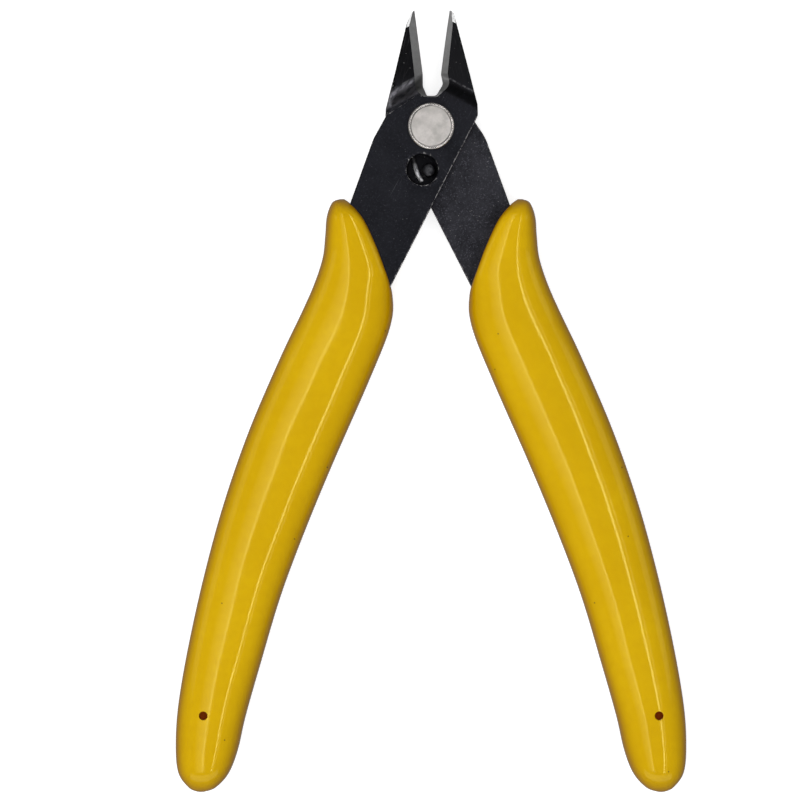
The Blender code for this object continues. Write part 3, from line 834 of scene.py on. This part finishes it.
def black_oxide(name, dark, jaw_dark, mottle, light_and_rub, lean, window_shade_and_nicks, seed):
    """Blackened steel: mottled, finely scratched, worn along its edges and bend, blacker at the jaw.

    Colours: dark is the plate's, jaw_dark the jaw's and light_and_rub the bend's, which is partly painted
    light on the bend's slope and partly rub. Mottle is how uneven and dusty the plate is, lean the angle of
    the jaw's strokes, window_shade_and_nicks how dark the blade is painted under the window as painted shade,
    and how strong its nicks are.
    """
    look = Recipe(name, 1.0)
    jaw = look.ramp(look.along("Y"), 3.0, 9.0)
    patches = look.ramp(look.noise(5, detail=3, seed=seed), 0.3, 0.72)
    grain = look.ramp(look.noise(0.45, detail=4, seed=seed + 2, roughness=0.65), 0.35, 0.75)
    light = tuple(channel * (1 + mottle) for channel in dark)
    deep = tuple(channel * (1 - 0.4 * mottle) for channel in dark)
    colour = look.mix(patches, deep, light)
    colour = look.mix(look.math("MULTIPLY", grain, 0.45 * mottle), colour, tuple(c * 3 for c in dark))
    dust = look.ramp(look.noise(0.22, detail=3, seed=seed + 15, roughness=0.6), 0.57, 0.67)
    colour = look.mix(look.math("MULTIPLY", dust, 0.75 * mottle), colour, tuple(c * 5 for c in dark))
    colour = look.mix(jaw, colour, jaw_dark)
    streaks = look.ramp(look.noise(0.5, detail=3, stretch=(1, 4, 1), turn=35, seed=seed + 12), 0.25, 0.7)
    # painted light: the bend is painted in its own colour through streaks, partly standing for light falling
    # on its slope and partly for rub
    bend_light_and_rub = look.math("MULTIPLY", look.attribute("bend"), look.ramp(streaks, 0, 1, 0.35, 1.0))
    colour = look.mix(bend_light_and_rub, colour, light_and_rub)
    strokes = look.ramp(look.noise(0.13, detail=2, stretch=(1, 26, 1), turn=lean, seed=seed + 14), 0.58, 0.72)
    strokes = look.math("MULTIPLY", look.math("MULTIPLY", strokes, jaw), look.ramp(patches, 0, 1, 0.1, 0.5))
    colour = look.mix(strokes, colour, (0.07, 0.07, 0.075))
    # painted highlight: a thin pale line along the crease where the bend ends, standing for light caught on
    # that edge
    crease_highlight = look.math("MULTIPLY", look.attribute("crease"), look.ramp(streaks, 0.2, 0.9, 0.0, 0.8))
    colour = look.mix(crease_highlight, colour, (0.12, 0.12, 0.125))
    # painted shade: the upper face round the window is painted nearly black, standing for the shade in that
    # recess
    if window_shade_and_nicks:
        window = (WINDOW[0] * MM, WINDOW[1] * MM, 0)
        reach = look.add("ShaderNodeVectorMath", {0: look.place, 1: window}, operation="DISTANCE")
        upper = look.ramp(look.along("Z"), -1.6, -0.6, 0.0, window_shade_and_nicks)
        painted_window_shade = look.math("MULTIPLY", look.ramp(reach.outputs["Value"], 3.6 * MM, 2.9 * MM), upper)
        colour = look.mix(painted_window_shade, colour, (0.004, 0.004, 0.0045))
    scratches = look.ramp(look.noise(0.18, detail=2, stretch=(1, 45, 1), turn=28, seed=seed + 4), 0.66, 0.78)
    across = look.ramp(look.noise(0.16, detail=2, stretch=(1, 30, 1), turn=-50, seed=seed + 5), 0.68, 0.8)
    lines = look.math("MAXIMUM", scratches, across)
    region = look.ramp(look.noise(6, seed=seed + 11), 0.45, 0.65)
    lines = look.math("MULTIPLY", look.math("MULTIPLY", lines, region), 0.3)
    colour = look.mix(lines, colour, (0.16, 0.16, 0.17))
    chips = look.ramp(look.noise(0.5, detail=5, seed=seed + 7, roughness=0.7), 0.3, 0.75)
    worn = look.math("MULTIPLY", look.attribute("wear"), chips)
    worn = look.ramp(worn, 0.42, 0.75)
    nicks = look.math("MAXIMUM", look.dots(1.5, 0.12, 0.15, seed), look.dots(0.8, 0.08, 0.22, seed + 1))
    nicks = look.math("MULTIPLY", nicks, 0.12 + 0.3 * window_shade_and_nicks)
    bare = look.math("MAXIMUM", look.math("MULTIPLY", worn, 0.75), nicks)
    colour = look.mix(bare, colour, (0.42, 0.41, 0.41))
    rough = look.math("ADD", look.ramp(patches, 0, 1, 0.36, 0.46), look.math("MULTIPLY", grain, 0.06))
    relief = look.bump(look.noise(0.3, detail=3, seed=seed + 8), 0.006)
    relief = look.bump(lines, -0.004, relief)
    return look.finish(colour, rough, relief)


def ground_steel(name, tone, seed, turn):
    """Bare steel with the fine lines of a grinding wheel across it, darker towards the throat as painted
    shade.
    """
    look = Recipe(name, 1.0)
    lines = look.noise(0.09, detail=3, stretch=(14, 1, 1), turn=turn, seed=seed)
    blotch = look.noise(0.8, detail=3, seed=seed + 2)
    # painted shade: darker towards the throat, where the jaws shade each other
    depth = look.ramp(look.along("Y"), 4.5, 18.0, 0.35, 1.0)
    pale = look.mix(look.ramp(lines, 0.3, 0.7), tuple(c * 0.78 for c in tone), tone)
    colour = look.mix(look.math("MULTIPLY", look.ramp(blotch, 0.35, 0.7), 0.35), pale,
                      tuple(c * 0.6 for c in tone))
    colour = look.mix(depth, tuple(c * 0.42 for c in tone), colour)
    rough = look.ramp(lines, 0.3, 0.7, 0.3, 0.46)
    relief = look.bump(lines, 0.004)
    return look.finish(colour, rough, relief)


def nickel(name):
    """Satin nickel plate, faintly mottled, with fine scratches, small dents and painted shade in its rim's
    groove.
    """
    look = Recipe(name, 1.0)
    mottle = look.ramp(look.noise(1.3, detail=4, seed=1), 0.3, 0.7)
    fine = look.ramp(look.noise(0.3, detail=3, seed=2), 0.35, 0.7)
    warm = look.ramp(look.noise(3.0, detail=1, seed=6), 0.35, 0.65)
    colour = look.mix(mottle, (0.44, 0.42, 0.4), (0.62, 0.592, 0.566))
    colour = look.mix(look.math("MULTIPLY", warm, 0.4), colour, (0.64, 0.6, 0.58))
    colour = look.mix(look.math("MULTIPLY", fine, 0.22), colour, (0.43, 0.41, 0.39))
    middle = look.add("ShaderNodeVectorMath", {0: look.place, 1: (1, 1, 0)}, operation="MULTIPLY").outputs[0]
    radius = look.add("ShaderNodeVectorMath", {0: middle}, operation="LENGTH").outputs["Value"]
    # painted shade: a dark line painted in the groove inside the head's rim, standing for the shade there
    groove = look.math("MULTIPLY",
                       look.ramp(radius, (RIVET_GROOVE - 0.13) * MM, (RIVET_GROOVE - 0.05) * MM),
                       look.ramp(radius, (RIVET_GROOVE + 0.1) * MM, (RIVET_GROOVE + 0.02) * MM))
    colour = look.mix(look.math("MULTIPLY", groove, look.ramp(warm, 0, 1, 0.8, 0.25)), colour,
                      (0.12, 0.115, 0.11))
    rim = look.ramp(radius, RIVET_GROOVE * MM, (RIVET_GROOVE + 0.1) * MM)
    dents = look.dots(1.5, 0.14, 0.12, 4)
    colour = look.mix(look.math("MULTIPLY", dents, 0.5), colour, (0.2, 0.19, 0.18))
    rough = look.math("SUBTRACT", look.ramp(mottle, 0, 1, 0.44, 0.37), look.math("MULTIPLY", rim, 0.17))
    scratch = look.noise(0.08, detail=2, stretch=(1, 24, 1), turn=35, seed=3)
    relief = look.bump(look.ramp(scratch, 0.5, 0.8), -0.0012)
    relief = look.bump(look.noise(0.7, detail=2, seed=5), 0.006, relief)
    return look.finish(colour, rough, look.bump(dents, -0.02, relief))


def drawn_wire(name):
    """Dull streaked wire, black up its leg and round the coil as painted shadow, in its own tone at its free
    end.
    """
    look = Recipe(name, 0.5)
    tone = look.ramp(look.noise(0.32, detail=3, stretch=(1, 3, 1), turn=-20, seed=1), 0.35, 0.65)
    colour = look.mix(tone, (0.2, 0.2, 0.21), (0.75, 0.75, 0.77))
    # painted shadow: the wire is black where this mask is 0
    colour = look.mix(look.attribute("light_and_rub"), (0.02, 0.02, 0.021), colour)
    rough = look.ramp(tone, 0, 1, 0.7, 0.6)
    return look.finish(colour, rough, look.bump(look.noise(0.12, detail=2, seed=2), 0.003))


def dark_pin(name):
    """Dark blued steel, softly mottled."""
    look = Recipe(name, 1.0)
    tone = look.ramp(look.noise(0.5, detail=3, seed=3), 0.3, 0.7)
    colour = look.mix(tone, (0.022, 0.022, 0.026), (0.06, 0.06, 0.064))
    rough = look.ramp(tone, 0, 1, 0.42, 0.34)
    return look.finish(colour, rough, look.bump(look.noise(0.2, detail=2, seed=4), 0.004))


# ---------------------------------------------------------------- floor, light, camera

def pale_floor():
    """A pale floor that gives off some light of its own and isn't mirrored in the tool."""
    cage = bmesh.new()
    bmesh.ops.create_grid(cage, x_segments=8, y_segments=8, size=FLOOR_SIZE)
    mesh = bpy.data.meshes.new("floor")
    cage.to_mesh(mesh)
    cage.free()
    floor = bpy.data.objects.new("floor", mesh)
    bpy.context.scene.collection.objects.link(floor)
    floor.location.z = cad_box[0].z - FLOOR_DROP
    floor.visible_diffuse = False
    floor.visible_glossy = False
    look = Recipe("floor_white", 0.0, Specular_IOR_Level=0.1, Roughness=0.9, Emission_Color=(1, 1, 1, 1),
                  Emission_Strength=0.72)
    tone = look.mix(look.noise(60, seed=2), (0.58, 0.58, 0.58), (0.6, 0.6, 0.6))
    mesh.materials.append(look.finish(tone))


def softbox(name, tilt, turn, width, length, radiance, gloss=True):
    """A rectangular light aimed at the tool: tilt is its angle from overhead, turn its bearing from +X."""
    light = bpy.data.lights.new(name, "AREA")
    light.shape = "RECTANGLE"
    light.size = width
    light.size_y = length
    light.energy = radiance * width * length * math.pi
    lamp = bpy.data.objects.new(name, light)
    bpy.context.scene.collection.objects.link(lamp)
    lean = math.radians(tilt)
    bearing = math.radians(turn)
    away = Vector((math.sin(lean) * math.cos(bearing), math.sin(lean) * math.sin(bearing), math.cos(lean)))
    lamp.location = away * LIGHT_DISTANCE
    if turn in (0, 180):                # the long side stays along the tool
        facing = Matrix(((away.z, 0, away.x), (0, 1, 0), (-away.x, 0, away.z)))
    else:
        facing = away.to_track_quat("Z", "Y")
    lamp.rotation_euler = facing.to_euler()
    lamp.visible_camera = False
    lamp.visible_glossy = gloss


def studio():
    """Strips beside the tool that draw the lines on the vinyl, and soft lights above and around it."""
    world = bpy.data.worlds.new("studio")
    bpy.context.scene.world = world
    world.use_nodes = True
    backdrop = world.node_tree.nodes["Background"]
    backdrop.inputs["Color"].default_value = (1, 1, 1, 1)
    backdrop.inputs["Strength"].default_value = 0.22
    softbox("left_line", 6.5, 180, 0.032, 2.6, 5.5)
    for step, radiance in enumerate((1.7, 1.2, 0.75, 0.4)):
        softbox(f"left_softbox_{step}", 9.5 + 4.5 * step, 180, 0.095, 2.6, radiance)
    softbox("right_strip", 15.9, 0, 0.055, 2.6, 8.0)
    softbox("right_strip_faint", 22, 0, 0.02, 2.6, 5.0)
    softbox("overhead", 0, 0, 1.0, 1.0, 1.0, gloss=False)
    softbox("left_key", 45, 180, 0.5, 1.2, 2.6, gloss=False)
    softbox("front_low", 66, -90, 1.6, 0.45, 1.1)
    softbox("jaw_left", 62, 165, 0.4, 0.5, 0.7)
    softbox("jaw_right", 62, 15, 0.4, 0.5, 0.8)
    bpy.context.scene.view_settings.view_transform = "Standard"


def camera():
    data = bpy.data.cameras.new("camera")
    data.sensor_width = SENSOR
    data.lens = SENSOR * CAMERA_HEIGHT / FIELD
    data.clip_start = 0.01
    data.clip_end = 10
    view = bpy.data.objects.new("camera", data)
    bpy.context.scene.collection.objects.link(view)
    view.location = VIEW_CENTRE + Vector((0, 0, CAMERA_HEIGHT))
    bpy.context.scene.camera = view


# ---------------------------------------------------------------- assembly

def dress(piece, node, body=None, material=None):
    """Hide a piece's CAD node, and give the piece the body that it rides on and, if it has none, its
    material.
    """
    if material:
        piece.data.materials.append(material)
    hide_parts(node)
    if body:
        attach(piece, body)


def assemble():
    # one ground steel in three tones: the darker left bevel, paler right bevel and near-white tip facets are
    # painted light and shade for how light falls on each
    ground_left = ground_steel("ground_steel_left", (0.48, 0.48, 0.48), 3, 8)
    ground_right = ground_steel("ground_steel_right", (0.6, 0.6, 0.6), 8, -8)
    facet = ground_steel("ground_tip", (0.95, 0.95, 0.95), 5, 0)
    front_black = black_oxide("front_black_oxide", (0.0138, 0.0142, 0.0175), (0.012, 0.012, 0.0135), 0.35,
                              (0.012, 0.012, 0.013), -14.7, 0.0, 2)
    # rear blade: its pale bend colour is painted light that partly stands for rub; its 0.85 paints shade
    # round the window and strengthens its nicks
    rear_black = black_oxide("rear_black_oxide", (0.0175, 0.0175, 0.0209), (0.008, 0.008, 0.009), 1.0,
                             (0.26, 0.255, 0.28), 14.7, 0.85, 21)
    dress(front_blade([front_black, ground_right, facet]), "front_blade", "front_half")
    dress(rear_blade([rear_black, ground_left, facet]), "rear_blade", "rear_half")
    dress(pivot_rivet(), "pivot_rivet", "front_half", nickel("satin_nickel"))
    dress(stop_pin(), "stop_pin", "rear_half", dark_pin("dark_pin"))
    left = grip("left_grip_vinyl", -1, FRONT_ROWS, LAP_FACE, PLATE_FACE)
    dress(left, "left_grip", "front_half", vinyl("yellow_vinyl_left", -1, 2))
    right = grip("right_grip_vinyl", 1, REAR_ROWS, -PLATE_FACE, -LAP_FACE)
    dress(right, "right_grip", "rear_half", vinyl("yellow_vinyl_right", 1, 31))
    spring = return_spring()
    dress(spring, "return_spring", material=drawn_wire("drawn_wire"))
    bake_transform(spring)


camera()
pale_floor()
studio()
assemble()
